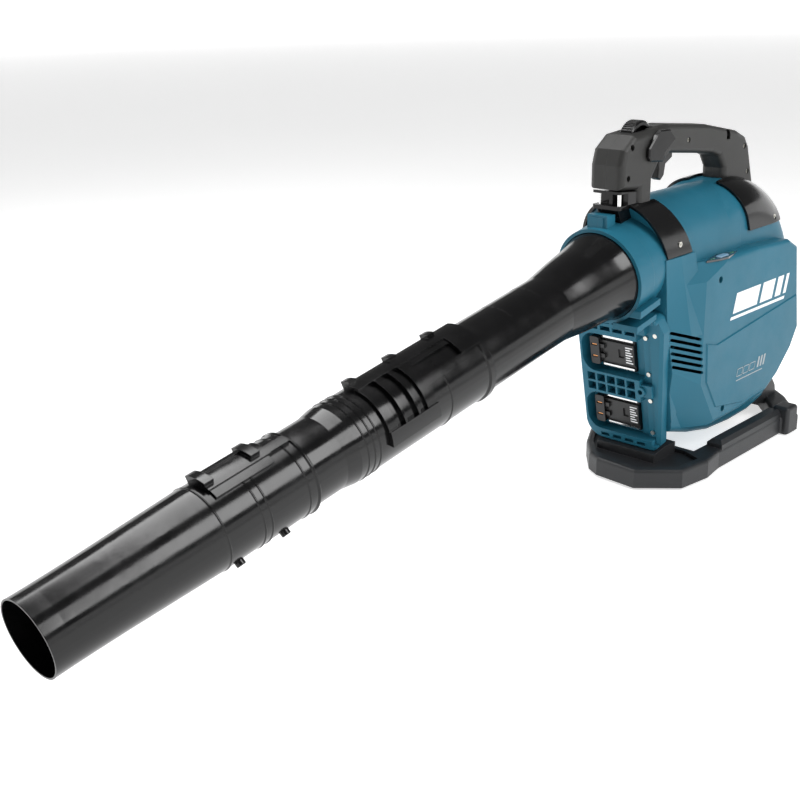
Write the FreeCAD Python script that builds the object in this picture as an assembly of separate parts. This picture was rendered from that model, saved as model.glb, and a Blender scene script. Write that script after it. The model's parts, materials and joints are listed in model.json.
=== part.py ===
"""Cordless handheld leaf blower with a telescoping long nozzle, on its floor stand.

Design frame: +X is the operator's left, the nozzle points to -Y, +Z is up, and y = 0 is the
mouth of the housing's outlet collar.  Every node is moved by CENTRE_SHIFT on the way out, so
that the stored origin is the centre of the whole machine's box at floor level.
"""
import FreeCAD, Part
import math
import os

V = FreeCAD.Vector

# ------------------------------------------------------------------ driving dimensions (mm)
TILT = 10.76                # the tube axis and the battery face lean by this angle (degrees)
COLLAR_Z = 281.5            # height of the tube axis at the collar mouth
TUBE_LENGTH = 822.0         # nozzle mouth to collar mouth, telescope pulled out
MOUTH_R = 39.5              # outer radius at the nozzle mouth
TIP_LENGTH = 20.0           # straight end of the nozzle, where an attachment slips on
SLEEVE_R = 43.8             # outer radius of the front nozzle's sleeve
NECK_R = 41.3               # outer radius of the middle tube's front end
MIDDLE_R = 44.3             # outer radius of the middle tube's rear end
REAR_R = 42.1               # outer radius of the rear nozzle's straight part
FLARE_R = 57.4              # outer radius of the rear nozzle at the collar
TUBE_WALL = 1.8
LOCK_STEP = 60.0            # the middle tube telescopes in steps of this length
COLLAR_R = 62.5

DRUM_Y = 260.0              # fan and motor axis
DRUM_Z = 203.0
DRUM_R = 167.0
DRUM_FLAT_LEFT = 58.0       # where the drum's left side goes flat
DRUM_FLAT_RIGHT = 70.0
DRUM_FLAT_R = 112.0
WALL = 3.0                  # moulded wall of the housings
BLOCK_LEFT = 80.0           # the raised side panel
BLOCK_RIGHT = 74.0
BLOCK_TOP = 285.0
BELLY_HALF = 58.0

MODULE_Y = 73.7             # bottom edge of the battery face
MODULE_Z = 36.0
MODULE_HALF = 62.0
MODULE_HEIGHT = 195.0
MODULE_DEPTH = 24.0
BAY_PITCH = 88.0            # one slide-on pack above the other
BAY_HEIGHT = 56.0
BAY_DEPTH = 18.0
BAY_LOW = 15.0

STAND_HALF = 110.0
STAND_REAR = 437.0
STAND_FRONT = 20.0
PLATE_TOP = 28.0
PAD = 3.0                   # rubber feet

GRIP_HALF = 18.0
FRONT_BLOCK_HALF = 24.0
HANDLE_WALL = 2.6
LEVER_Y = 70.0              # axis of the speed-hold lever
LEVER_Z = 439.0
LEVER_R = 26.0
TRIGGER_Y = 121.0           # trigger pivot
TRIGGER_Z = 431.0

SHAFT_R = 4.0
BEARING_R = 11.0
BEARING_WIDTH = 7.0
STATOR_R = 34.0
IMPELLER_R = 80.0
INTAKE_R = 50.0
GRILLE_R = 71.0

MOUTH_Y = -TUBE_LENGTH * math.cos(math.radians(TILT))
MOUTH_Z = COLLAR_Z - TUBE_LENGTH * math.sin(math.radians(TILT))
FRONT_Y = MOUTH_Y - MOUTH_R * math.sin(math.radians(TILT))
CENTRE_SHIFT = -(FRONT_Y + STAND_REAR) / 2

X_AXIS = V(1, 0, 0)
Y_AXIS = V(0, 1, 0)
Z_AXIS = V(0, 0, 1)
FAR = 900.0


# ------------------------------------------------------------------ shape helpers
def box(x_low, x_high, y_low, y_high, z_low, z_high):
    return Part.makeBox(x_high - x_low, y_high - y_low, z_high - z_low, V(x_low, y_low, z_low))


def cylinder(radius, start, end):
    start = V(*start)
    along = V(*end) - start
    return Part.makeCylinder(radius, along.Length, start, along)


def ring(outer, inner, start, end):
    return cylinder(outer, start, end).cut(cylinder(inner, start, end))


def face_of(points):
    return Part.Face(Part.makePolygon(list(points) + [points[0]]))


def yz_prism(points, x_low, x_high):
    face = face_of([V(x_low, y, z) for y, z in points])
    return face.extrude(V(x_high - x_low, 0, 0))


def xy_prism(points, z_low, z_high):
    face = face_of([V(x, y, z_low) for x, y in points])
    return face.extrude(V(0, 0, z_high - z_low))


def xz_prism(points, y_low, y_high):
    face = face_of([V(x, y_low, z) for x, z in points])
    return face.extrude(V(0, y_high - y_low, 0))


def join(shapes):
    shapes = list(shapes)
    return shapes[0].multiFuse(shapes[1:]).removeSplitter()


def group(solids):
    return Part.makeCompound(list(solids))


def mirrored(shape):
    return shape.mirror(V(0, 0, 0), X_AXIS)


def left_of(shape):
    return shape.common(box(0, FAR, -FAR, FAR, -FAR, FAR))


def right_of(shape):
    return shape.common(box(-FAR, 0, -FAR, FAR, -FAR, FAR))


def half_space(point, normal):
    """Everything on the side of the plane that its normal points to."""
    block = Part.makeBox(2 * FAR, 2 * FAR, FAR, V(-FAR, -FAR, 0))
    block.Placement = FreeCAD.Placement(V(*point), FreeCAD.Rotation(Z_AXIS, V(*normal)))
    return block


def filleted(shape, radius, wanted):
    edges = [edge for edge in shape.Edges if wanted(edge)]
    return shape.makeFillet(radius, edges)


def is_along(edge, axis):
    if not isinstance(edge.Curve, Part.Line):
        return False
    return abs(abs(edge.tangentAt(edge.FirstParameter).dot(axis)) - 1) < 1e-6


def at_x(edge, x):
    box_ = edge.BoundBox
    return abs(box_.XMin - x) < 1e-6 and abs(box_.XMax - x) < 1e-6


def at_z(edge, z):
    box_ = edge.BoundBox
    return abs(box_.ZMin - z) < 1e-6 and abs(box_.ZMax - z) < 1e-6


# ------------------------------------------------------------------ the nozzle
# Tube frame: x as in the design frame, y is the distance from the nozzle mouth, z is up from
# the tube axis.
def in_tube(shape):
    frame = FreeCAD.Placement(V(0, MOUTH_Y, MOUTH_Z), FreeCAD.Rotation(X_AXIS, TILT))
    placed = shape.copy()
    placed.Placement = frame.multiply(shape.Placement)
    return placed


def lathe_y(edges):
    return Part.Face(Part.Wire(edges)).revolve(V(0, 0, 0), Y_AXIS, 360)


def curve_through(points):
    """A smooth edge through (station, radius) points, or a straight one through two."""
    corners = [V(radius, station, 0) for station, radius in points]
    if len(corners) == 2:
        return Part.LineSegment(*corners).toShape()
    spline = Part.BSplineCurve()
    spline.interpolate(corners)
    return spline.toShape()


def tube(stretches):
    """A thin tube whose outer skin runs through the stretches, each a list of points."""
    outer = [curve_through(points) for points in stretches]
    inner = [curve_through([(s, r - TUBE_WALL) for s, r in points]) for points in stretches]
    first_s, first_r = stretches[0][0]
    last_s, last_r = stretches[-1][-1]
    ends = [
        Part.LineSegment(V(last_r, last_s, 0), V(last_r - TUBE_WALL, last_s, 0)).toShape(),
        Part.LineSegment(V(first_r, first_s, 0), V(first_r - TUBE_WALL, first_s, 0)).toShape(),
    ]
    return lathe_y(Part.sortEdges(outer + inner + ends)[0])


def bead(station, width, bottom, top):
    """A low ring round a tube, with chamfered shoulders."""
    slope = min(0.4 * width, top - bottom)
    points = [
        V(bottom - 0.6, station - width / 2, 0),
        V(bottom, station - width / 2, 0),
        V(top, station - width / 2 + slope, 0),
        V(top, station + width / 2 - slope, 0),
        V(bottom, station + width / 2, 0),
        V(bottom - 0.6, station + width / 2, 0),
    ]
    return face_of(points).revolve(V(0, 0, 0), Y_AXIS, 360)


def sector(r_low, r_high, s_low, s_high, angle_low, angle_high):
    """Part of a ring round the tube, angles in degrees from the top towards +X."""
    section = face_of([V(0, s_low, r_low), V(0, s_high, r_low), V(0, s_high, r_high), V(0, s_low, r_high)])
    section.rotate(V(0, 0, 0), Y_AXIS, angle_low)
    return section.revolve(V(0, 0, 0), Y_AXIS, angle_high - angle_low)


def round_peg(station, angle, radius, bottom, top):
    peg = Part.makeCylinder(radius, top - bottom, V(0, station, bottom))
    peg = filleted(peg, 1.0, lambda edge: at_z(edge, top))
    peg.rotate(V(0, 0, 0), Y_AXIS, angle)
    return peg


def front_nozzle():
    sleeve_end = 299.0
    skin = tube([
        [(0, MOUTH_R), (TIP_LENGTH, MOUTH_R)],
        [(TIP_LENGTH, MOUTH_R), (70, MOUTH_R + 0.9), (125, MOUTH_R + 2.6), (180, SLEEVE_R)],
        [(180, SLEEVE_R), (sleeve_end, SLEEVE_R)],
    ])
    beads = [bead(s, 3.4, SLEEVE_R - 0.6, SLEEVE_R + 0.9) for s in (185, 227, 236, 285)]
    lip = bead(sleeve_end - 2.5, 5.0, SLEEVE_R - 0.6, SLEEVE_R + 1.6)
    return in_tube(join([skin, lip] + beads))


def front_lock():
    """The lock block on the front sleeve, with two hooks over its top."""
    low, high = SLEEVE_R, SLEEVE_R + 4.0
    blocks = [
        sector(low, high, 194, 270, -15, 22),
        sector(low, SLEEVE_R + 2.6, 195, 266, 18, 34),
        sector(low, high, 262, 294, 8, 21),
        sector(low, SLEEVE_R + 8.5, 193, 204, -17, 16),
        sector(low, SLEEVE_R + 8.5, 249, 260, -17, 16),
        sector(low, SLEEVE_R + 6.0, 200, 252, -12, -4),
    ]
    lock = in_tube(blocks[0].multiFuse(blocks[1:]))
    return biggest(lock.cut(front_nozzle()))


def lock_pegs():
    """Round bayonet pegs on the underside of the front sleeve."""
    places = [(s, angle) for s in (199, 256) for angle in (140, -140)]
    pegs = [round_peg(s, angle, 5.0, SLEEVE_R - 0.8, SLEEVE_R + 5.0) for s, angle in places]
    return group(in_tube(peg).cut(front_nozzle()) for peg in pegs)


def middle_tube():
    front, shoulder_start, shoulder_end, rear = 240.0, 338.0, 355.0, 565.0
    skin = tube([
        [(front, NECK_R), (shoulder_start, NECK_R)],
        [(shoulder_start, NECK_R), (shoulder_end, MIDDLE_R)],
        [(shoulder_end, MIDDLE_R), (rear, MIDDLE_R)],
    ])
    beads = [bead(s, 3.4, MIDDLE_R - 0.6, MIDDLE_R + 0.9) for s in (365, 374, 382, 492)]
    rim = bead(559, 12.0, MIDDLE_R - 0.6, MIDDLE_R + 1.9)
    return in_tube(join([skin, rim] + beads))


def middle_lock():
    """The lock frame on the middle tube, with a hook for each of the three lengths."""
    low, plate, raised = MIDDLE_R, MIDDLE_R + 3.6, MIDDLE_R + 5.2
    frame = [
        sector(low, plate, 395, 408, 6, 99),
        sector(low, raised, 395, 468, 80, 100),
        sector(low, plate, 453, 467, 6, 99),
        sector(low, raised, 396, 558, -14, 12),
        sector(low, plate, 460, 530, 43, 55),
        sector(low, raised, 527, 557, 8, 44),
        sector(low, plate, 466, 528, 10, 21),
    ]
    hooks = [
        sector(low, MIDDLE_R + 9.0, s - 5, s + 5, -18, -4)
        for s in (402, 402 + LOCK_STEP, 402 + 2 * LOCK_STEP)
    ]
    ribs = [sector(low, plate + 1.2, s, s + 3, 9, 85) for s in (418, 438)]
    lock = in_tube(frame[0].multiFuse(frame[1:] + hooks + ribs))
    return biggest(lock.cut(middle_tube()))


def rear_nozzle():
    skin = tube([
        [(478, REAR_R), (712, REAR_R)],
        [(712, REAR_R), (728, 43.9), (743, 46.0), (773, 49.6), (802, 52.9), (822, FLARE_R)],
        [(822, FLARE_R), (846, FLARE_R)],
    ])
    seams = [
        sector(REAR_R - 0.8, REAR_R + 0.25, 623, 625, -26, 34),
        sector(REAR_R - 0.8, REAR_R + 0.25, 679, 681, -30, 31),
    ]
    foot = bead(843, 5.0, FLARE_R - 0.8, FLARE_R + 0.4)
    return in_tube(join([skin, foot] + seams))


def nozzle_seal():
    return in_tube(ring(FLARE_R - 0.3, FLARE_R - 5.0, (0, 847, 0), (0, 850, 0)))


# ------------------------------------------------------------------ the housing
def drum_half(flat, t):
    """One side of the fan drum, turned about the motor axis; flat is where its side ends."""
    side = math.copysign(1, flat)
    width = abs(flat)
    radius, flat_x, flat_r = DRUM_R - t, width - t, DRUM_FLAT_R - t
    middle = V(side * (width * 0.77 - 0.7 * t), DRUM_R - 17 - 0.8 * t, 0)
    start = V(side * 12, radius, 0)
    end = V(side * flat_x, flat_r, 0)
    edges = [
        Part.LineSegment(V(0, 0, 0), V(0, radius, 0)).toShape(),
        Part.LineSegment(V(0, radius, 0), start).toShape(),
        Part.Arc(start, middle, end).toShape(),
        Part.LineSegment(end, V(side * flat_x, 0, 0)).toShape(),
        Part.LineSegment(V(side * flat_x, 0, 0), V(0, 0, 0)).toShape(),
    ]
    turned = Part.Face(Part.Wire(edges)).revolve(V(0, 0, 0), X_AXIS, 360)
    turned.translate(V(0, DRUM_Y, DRUM_Z))
    return turned


def in_module(shape):
    """From the battery face's own frame: y goes into the machine, z up the leaning face."""
    frame = FreeCAD.Placement(V(0, MODULE_Y, MODULE_Z), FreeCAD.Rotation(X_AXIS, TILT))
    placed = shape.copy()
    placed.Placement = frame.multiply(shape.Placement)
    return placed


# Planes that trim the front corners of the left side, each given by three points on it: the
# upright one with the vents, the one below it and the one at the front of the ledge.
CORNERS = [
    [(62, 66, 200), (BLOCK_LEFT, 124, 200), (BLOCK_LEFT, 124, 120)],
    [(62, 89, 119), (BLOCK_LEFT, 124, 124), (BLOCK_LEFT, 153, 78)],
    [(BLOCK_LEFT, 106, 256), (BLOCK_LEFT, 150, 272), (64, 140, 288)],
]


def corner_cut(points, t):
    """What lies outside a corner's plane once the plane is moved inwards by t."""
    first, second, third = (V(*point) for point in points)
    normal = (second - first).cross(third - first).normalize()
    if normal.x < 0:
        normal = normal * -1
    return half_space(first - normal * t, normal)


def side_block(t):
    """The flat-sided lower body with its panel, inset by t all round."""
    outline = [
        (60, BLOCK_TOP), (258, BLOCK_TOP), (346, 280), (371, 267), (382, 201), (391, 146),
        (372, 114), (338, 84), (306, 67), (232, 60), (150, 58), (60, 64),
    ]
    wire = Part.makePolygon([V(0, y, z) for y, z in outline + outline[:1]])
    face = Part.Face(wire)
    if t:
        face = Part.Face(wire.makeOffset2D(-t))
    solid = face.extrude(V(BLOCK_LEFT - t, 0, 0)).fuse(face.extrude(V(-(BLOCK_RIGHT - t), 0, 0)))
    solid = solid.removeSplitter()
    if not t:
        solid = filleted(solid, 7.0, lambda edge: at_x(edge, BLOCK_LEFT) or at_x(edge, -BLOCK_RIGHT))
    for points in CORNERS:
        solid = solid.cut(corner_cut(points, t)).cut(mirrored(corner_cut(points, t + 0.5)))
    return solid


def keel(t):
    """The narrower belly that shows below the side panels."""
    outline = [
        (60, 66), (91, 61), (140, 46), (193, 35), (250, 32), (300, 34), (341, 43), (372, 68), (388, 104),
        (388, 150), (60, 150),
    ]
    wire = Part.makePolygon([V(0, y, z) for y, z in outline + outline[:1]])
    face = Part.Face(wire.makeOffset2D(-t) if t else wire)
    halves = [face.extrude(V(side * (BELLY_HALF - t), 0, 0)) for side in (1, -1)]
    solid = join(halves)
    if not t:
        solid = filleted(solid, 9.0, lambda edge: at_x(edge, BELLY_HALF) or at_x(edge, -BELLY_HALF))
    return solid


def cheek(side, narrower):
    """The faceted pillar that rises from the front corner to the front cover's lower end."""
    low = [(30, 66), (62, 66), (79, 96), (79.5, 131), (30, 131)]
    high = [(30, 52), (63.5, 52), (65, 84), (64.5, 118), (30, 118)]
    wires = []
    for points, z in ((low, 194), (high, 301)):
        corners = [V(side * (x - narrower), y, z) for x, y in points]
        wires.append(Part.makePolygon(corners + corners[:1]))
    return Part.makeLoft(wires, True, True)


def module_room(t):
    """What lies in front of the battery module's back plane."""
    return in_module(box(-FAR, FAR, -FAR, MODULE_DEPTH + t, -FAR, MODULE_HEIGHT + 6))


def duct(t):
    """The round outlet that runs from the collar up into the top of the drum."""
    mouth_radius = COLLAR_R if not t else FLARE_R + 0.6
    start = TUBE_LENGTH if not t else TUBE_LENGTH - 1
    straight = cylinder(mouth_radius, (0, start, 0), (0, 851 + t, 0))
    inner = COLLAR_R - 0.5 - 2 * t
    rest = cylinder(inner, (0, 851, 0), (0, 935 - t, 0))
    return in_tube(straight.fuse(rest))


def arch(half_width, rise, y_low, y_high):
    """A long arched bar, the saddle that the handle's front end stands on."""
    base = 300.0
    crown = Part.makeCylinder(1.0, y_high - y_low, V(0, y_low, 0), Y_AXIS)
    scale = FreeCAD.Matrix()
    scale.scale(half_width, 1, rise)
    crown = crown.transformGeometry(scale)
    crown.translate(V(0, 0, base))
    return crown.common(box(-FAR, FAR, y_low, y_high, base, FAR))


FRONT_BAND = [(26, 380), (56, 302), (112, 302), (80, 380)]
REAR_BAND = [(222, 402), (262, 304), (358, 304), (366, 372), (352, 402)]
ARCH_HALF = 60.0
ARCH_RISE = 69.0
SADDLE_REAR = 240.0
COVER_GAP = 0.3
COVER_WALL = 3.6
FRONT_COVER_SCREW = (84, 316)
REAR_COVER_SCREW = (333, 312)


def front_saddle(t):
    """The arched back of the body, from the collar to the crown of the drum."""
    half = ARCH_HALF - t
    saddle = arch(half, ARCH_RISE - t, 30 + t, SADDLE_REAR)
    skirt = box(-half, half, 60 + t, SADDLE_REAR, 276, 301)
    slanted = yz_prism([(30 + t, 380), (68 + t, 296), (SADDLE_REAR, 270), (SADDLE_REAR, 380)], -FAR, FAR)
    slanted = slanted.fuse(box(-FAR, FAR, 68 + t, SADDLE_REAR, 270, 300))
    return saddle.fuse(skirt).common(slanted)


def envelope(t):
    """The whole moulded body as one solid, inset by t."""
    body = join([
        drum_half(DRUM_FLAT_LEFT, t),
        drum_half(-DRUM_FLAT_RIGHT, t),
        side_block(t),
        keel(t),
    ])
    body = body.cut(module_room(t))
    pieces = [body, duct(t), front_saddle(t)]
    if not t:
        pieces += [cheek(1, 0), cheek(-1, BLOCK_LEFT - BLOCK_RIGHT)]
    return join(pieces)


def screw_x(y, z, seat, length, head_r=3.8, shank_r=2.0):
    """A pan-head screw along X. Its head's underside is at seat and its shank points inwards."""
    side = math.copysign(1, seat)
    head = cylinder(head_r, (seat, y, z), (seat + side * 2.4, y, z))
    recess = cylinder(1.5, (seat + side * 1.2, y, z), (seat + side * 3, y, z))
    shank = cylinder(shank_r, (seat, y, z), (seat - side * length, y, z))
    return head.cut(recess).fuse(shank).removeSplitter()


# (y, z, side the head is on)
HOUSING_SCREWS = [(159, 259, 1), (185, 75, 1), (352, 118, -1), (374, 150, -1), (100, 170, -1)]
SCREW_SEAT = {1: 66.0, -1: 60.0}


def housing_screws():
    return group(screw_x(y, z, side * SCREW_SEAT[side], 84, shank_r=2.2) for y, z, side in HOUSING_SCREWS)


def vent_slots():
    """Six slots across the front corner of the left side, falling towards the rear."""
    slots = []
    for row in range(6):
        slot = box(50, 90, 0, 56, -2.0, 2.0)
        slot = filleted(slot, 1.9, lambda edge: is_along(edge, X_AXIS))
        slot.rotate(V(0, 0, 0), X_AXIS, -19)
        slot.translate(V(0, 68 + 1.5 * row, 205 - 9.4 * row))
        slots.append(slot)
    return slots


def collar_details():
    """Flange lips and gussets under the collar, and the block on top where the halves meet."""
    lips = [
        yz_prism([(2, 246), (45, 255), (45, 247), (2, 237)], 40, 62),
        yz_prism([(2, 226), (44, 234), (44, 227), (2, 218)], 22, 58),
    ]
    top = [
        box(-17, 12, -3, 14, 330, 359),
        box(-12, 7, -5, -2, 334, 356),
    ]
    hollow = in_tube(cylinder(COLLAR_R - 0.2, (0, 815, 0), (0, 900, 0)))
    gusset = yz_prism([(62, 150), (108, 94), (82, 66), (72, 80)], 54, 59).cut(module_room(0))
    paired = lips + [gusset]
    return [shape.cut(hollow) for shape in paired + [mirrored(shape) for shape in paired] + top]


def panel_ridge():
    """The raised lower field of the left panel, below its slanted crease."""
    field = [
        (132, 179), (158, 172), (376, 196), (385, 147), (368, 120), (334, 90), (302, 76), (236, 70),
        (164, 82), (136, 124),
    ]
    raised = yz_prism(field, BLOCK_LEFT - 1, BLOCK_LEFT + 1.6)
    return raised.makeChamfer(1.4, [edge for edge in raised.Edges if at_x(edge, BLOCK_LEFT + 1.6)])


def housings():
    shell = join([envelope(0)] + collar_details() + [panel_ridge()]).cut(envelope(WALL))
    inner = envelope(WALL)
    bosses = join(
        cylinder(6.5, (BLOCK_LEFT - 1, y, z), (-BLOCK_RIGHT + 1, y, z)) for y, z, _ in HOUSING_SCREWS
    ).common(inner)
    bosses = bosses.cut(cylinder(116, (-80, DRUM_Y, DRUM_Z), (-6, DRUM_Y, DRUM_Z)))
    shell = shell.fuse(bosses)
    for y, z, side in HOUSING_SCREWS:
        seat = side * SCREW_SEAT[side]
        shell = shell.cut(cylinder(4.6, (seat, y, z), (seat + 20 * side, y, z)))
    for screws in (housing_screws(), cover_screws(), intake_screws(), module_screws()):
        shell = shell.cut(screws)
    intake = cylinder(INTAKE_R, (-FAR, DRUM_Y, DRUM_Z), (-60, DRUM_Y, DRUM_Z))
    shell = shell.cut(intake)
    for slot in vent_slots():
        shell = shell.cut(slot)
    for slot in exhaust_slots():
        shell = shell.cut(slot)
    shell = shell.cut(indicator_pocket())
    left = biggest(left_of(shell))
    right = biggest(right_of(shell))
    return left, right


def biggest(shape):
    return max(shape.Solids, key=lambda solid: solid.Volume)


def exhaust_slots():
    """Cooling-air slots low on the back of the left half."""
    slots = []
    for row in range(5):
        z = 150.0 + 14 * row
        slots.append(box(16, 44, 400, 440, z - 2.5, z + 2.5))
    return slots


# ------------------------------------------------------------------ indicator on the left ledge
INDICATOR_Y = 178.0
INDICATOR_X = 69.0
INDICATOR_LONG = 39.0
INDICATOR_WIDE = 9.5
LENS_THICK = 2.0


def diamond(grow, z_low, z_high):
    long, wide = INDICATOR_LONG + grow, INDICATOR_WIDE + grow
    waist = wide * 0.72
    points = [
        (INDICATOR_X, INDICATOR_Y - long), (INDICATOR_X + waist, INDICATOR_Y - long * 0.45),
        (INDICATOR_X + wide, INDICATOR_Y), (INDICATOR_X + waist, INDICATOR_Y + long * 0.45),
        (INDICATOR_X, INDICATOR_Y + long), (INDICATOR_X - waist, INDICATOR_Y + long * 0.45),
        (INDICATOR_X - wide, INDICATOR_Y), (INDICATOR_X - waist, INDICATOR_Y - long * 0.45),
    ]
    return xy_prism(points, z_low, z_high)


def button_blank(grow, z_low, z_high):
    slot = box(INDICATOR_X - 4.5 - grow, INDICATOR_X + 4.5 + grow,
               INDICATOR_Y - 12 - grow, INDICATOR_Y + 12 + grow, z_low, z_high)
    return filleted(slot, 4.2, lambda edge: is_along(edge, Z_AXIS))


def indicator_pocket():
    return diamond(0, BLOCK_TOP - LENS_THICK, BLOCK_TOP + 2).fuse(
        button_blank(0.4, BLOCK_TOP - 8, BLOCK_TOP + 2))


def indicator_panel():
    lens = diamond(0, BLOCK_TOP - LENS_THICK, BLOCK_TOP + 0.8)
    lens = lens.cut(button_blank(0.4, BLOCK_TOP - 8, BLOCK_TOP + 3))
    lamps = []
    for y in (INDICATOR_Y + offset for offset in (-27, -21, 21, 27)):
        lamps.append(cylinder(1.3, (INDICATOR_X, y, BLOCK_TOP), (INDICATOR_X, y, BLOCK_TOP + 3)))
    return lens.cut(join(lamps))


def check_button():
    cap = button_blank(0, BLOCK_TOP - 4, BLOCK_TOP + 1.8)
    return filleted(cap, 0.8, lambda edge: at_z(edge, BLOCK_TOP + 1.8))


# ------------------------------------------------------------------ glossy covers and handle
def front_covers():
    outer = arch(ARCH_HALF + COVER_GAP + COVER_WALL, ARCH_RISE + COVER_GAP + COVER_WALL, 0, 160)
    inner = arch(ARCH_HALF + COVER_GAP, ARCH_RISE + COVER_GAP, 0, 160)
    band = yz_prism(FRONT_BAND, 21, FAR)
    duct_room = in_tube(cylinder(COLLAR_R + COVER_GAP, (0, 800, 0), (0, 1100, 0)))
    cover = biggest(outer.cut(inner).common(band).cut(duct_room))
    y, z = FRONT_COVER_SCREW
    cover = cover.cut(cover_screws()).cut(cylinder(4.2, (61, y, z), (FAR, y, z)))
    return cover, mirrored(cover)


def rear_cover(side, flat):
    """The rear cover of one side, a skin over the drum; side is 1 on the left, -1 on the right."""
    skin = drum_half(side * flat, -COVER_GAP - COVER_WALL).cut(drum_half(side * flat, -COVER_GAP))
    near, far = sorted((side * 21, side * FAR))
    cover = biggest(skin.common(yz_prism(REAR_BAND, near, far)))
    y, z = REAR_COVER_SCREW
    hole = cylinder(4.2, (side * (flat - 1.5), y, z), (side * FAR, y, z))
    return cover.cut(cover_screws()).cut(hole)


def cover_screws():
    front = screw_x(*FRONT_COVER_SCREW, 61, 14, head_r=3.6)
    rear_left = screw_x(*REAR_COVER_SCREW, DRUM_FLAT_LEFT - 1.5, 12, head_r=3.6)
    rear_right = screw_x(*REAR_COVER_SCREW, 1.5 - DRUM_FLAT_RIGHT, 12, head_r=3.6)
    return group([front, mirrored(front), rear_left, rear_right])


FRONT_BLOCK = [
    (8, 389), (8, 418), (14, 437), (36, 452), (92, 456), (92, 414), (77, 394), (77, 362),
    (46, 362), (46, 385),
]
GRIP = [
    (74, 456), (120, 457), (157, 453), (214, 447), (293, 431), (316, 421), (326, 408), (346, 350),
    (262, 350), (260, 384), (248, 401), (228, 407.5), (126, 420), (114, 413), (98, 413), (74, 420),
]


def handle_prism(outline, half, inset, edge_radius):
    wire = Part.makePolygon([V(-half + inset, y, z) for y, z in outline + outline[:1]])
    face = Part.Face(wire)
    if inset:
        face = Part.Face(wire.makeOffset2D(-inset))
    solid = face.extrude(V(2 * (half - inset), 0, 0))
    if edge_radius:
        ends = (half - inset, inset - half)
        solid = filleted(solid, edge_radius, lambda edge: any(at_x(edge, end) for end in ends))
    return solid


def handle_solid(inset):
    radius = 0 if inset else 8.0
    block = handle_prism(FRONT_BLOCK, FRONT_BLOCK_HALF, inset, radius)
    grip = handle_prism(GRIP, GRIP_HALF, inset, radius)
    return join([block, grip])


def drum_room():
    """The drum's outside, a little larger, which the handle's rear post is shaped to."""
    return join([drum_half(DRUM_FLAT_LEFT, -COVER_GAP), drum_half(-DRUM_FLAT_RIGHT, -COVER_GAP)])


HANDLE_SCREWS = [(29, 438), (166, 432), (312, 408), (22, 402), (324, 372)]


def handle_screws():
    return group(screw_x(y, z, 14.0, 26, head_r=3.2, shank_r=1.8) for y, z in HANDLE_SCREWS)


def handle_halves():
    cavity = handle_solid(HANDLE_WALL)
    bosses = join(
        cylinder(5.0, (23, y, z), (-23, y, z)) for y, z in HANDLE_SCREWS
    ).common(cavity)
    lever_room = cylinder(LEVER_R + 1.6, (-11, LEVER_Y, LEVER_Z), (11, LEVER_Y, LEVER_Z))
    shell = handle_solid(0).cut(cavity).fuse(bosses).cut(lever_room)
    shell = shell.cut(cylinder(5.4, (-40, LEVER_Y, LEVER_Z), (40, LEVER_Y, LEVER_Z)))
    shell = shell.cut(box(-7.6, 7.6, 107, 152, 400, 425))
    shell = shell.cut(cylinder(2.5, (-16, TRIGGER_Y, TRIGGER_Z), (16, TRIGGER_Y, TRIGGER_Z)))
    for y, z in HANDLE_SCREWS:
        shell = shell.cut(cylinder(3.7, (14, y, z), (40, y, z)))
    over_covers = COVER_GAP + COVER_WALL + 0.3
    seat = arch(ARCH_HALF + over_covers, ARCH_RISE + over_covers, 0, SADDLE_REAR)
    shell = shell.cut(handle_screws()).cut(drum_room()).cut(seat)
    shell = shell.cut(box(13, 40, 262, 271, 422, 470))
    return biggest(left_of(shell)), biggest(right_of(shell))


STRAP_RODS = ((-11, 1.8), (17, 2.4))


def strap_bracket():
    """The glossy block under the handle's front end, with a loop for a strap on either side."""
    block = yz_prism([(10, 387), (64, 381), (64, 364), (10, 364)], -20.6, 20.6)
    block = filleted(block, 4.0, lambda edge: is_along(edge, Z_AXIS))
    foot = yz_prism([(14, 366), (64, 366), (64, 340), (24, 340)], -16, 16)
    window = box(-30, 30, 5, 28, 369, 383.5)
    pillar = box(1, 6, 16, 28, 368, 384)
    bracket = join([block, foot]).cut(window).fuse(pillar)
    solid_body = join([envelope(0)] + collar_details())
    block_above = handle_prism(FRONT_BLOCK, FRONT_BLOCK_HALF, 0, 0)
    return biggest(bracket.cut(solid_body).cut(block_above).removeSplitter())


def strap_rod():
    return group(cylinder(radius, (x, 14.5, 369), (x, 14.5, 383.5)) for x, radius in STRAP_RODS)


# ------------------------------------------------------------------ controls
def trigger():
    outline = [
        (113, 438), (127, 439), (147, 425), (147, 412), (132, 405), (129, 391),
        (122, 385.5), (115, 389), (116.5, 400), (115, 414), (112.5, 426),
    ]
    lever = yz_prism(outline, -6.5, 6.5)
    lever = filleted(lever, 1.6, lambda edge: at_x(edge, 6.5) or at_x(edge, -6.5))
    return lever.cut(cylinder(2.6, (-9, TRIGGER_Y, TRIGGER_Z), (9, TRIGGER_Y, TRIGGER_Z)))


def trigger_pin():
    return cylinder(2.5, (-15.0, TRIGGER_Y, TRIGGER_Z), (15.0, TRIGGER_Y, TRIGGER_Z))


def trigger_spring():
    """Four closed turns of wire round the trigger's pin, beside the trigger."""
    turns = []
    for turn in range(4):
        x = 8.2 + 1.3 * turn
        turns.append(Part.makeTorus(3.8, 0.55, V(x, TRIGGER_Y, TRIGGER_Z), X_AXIS))
    return group(turns)


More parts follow.
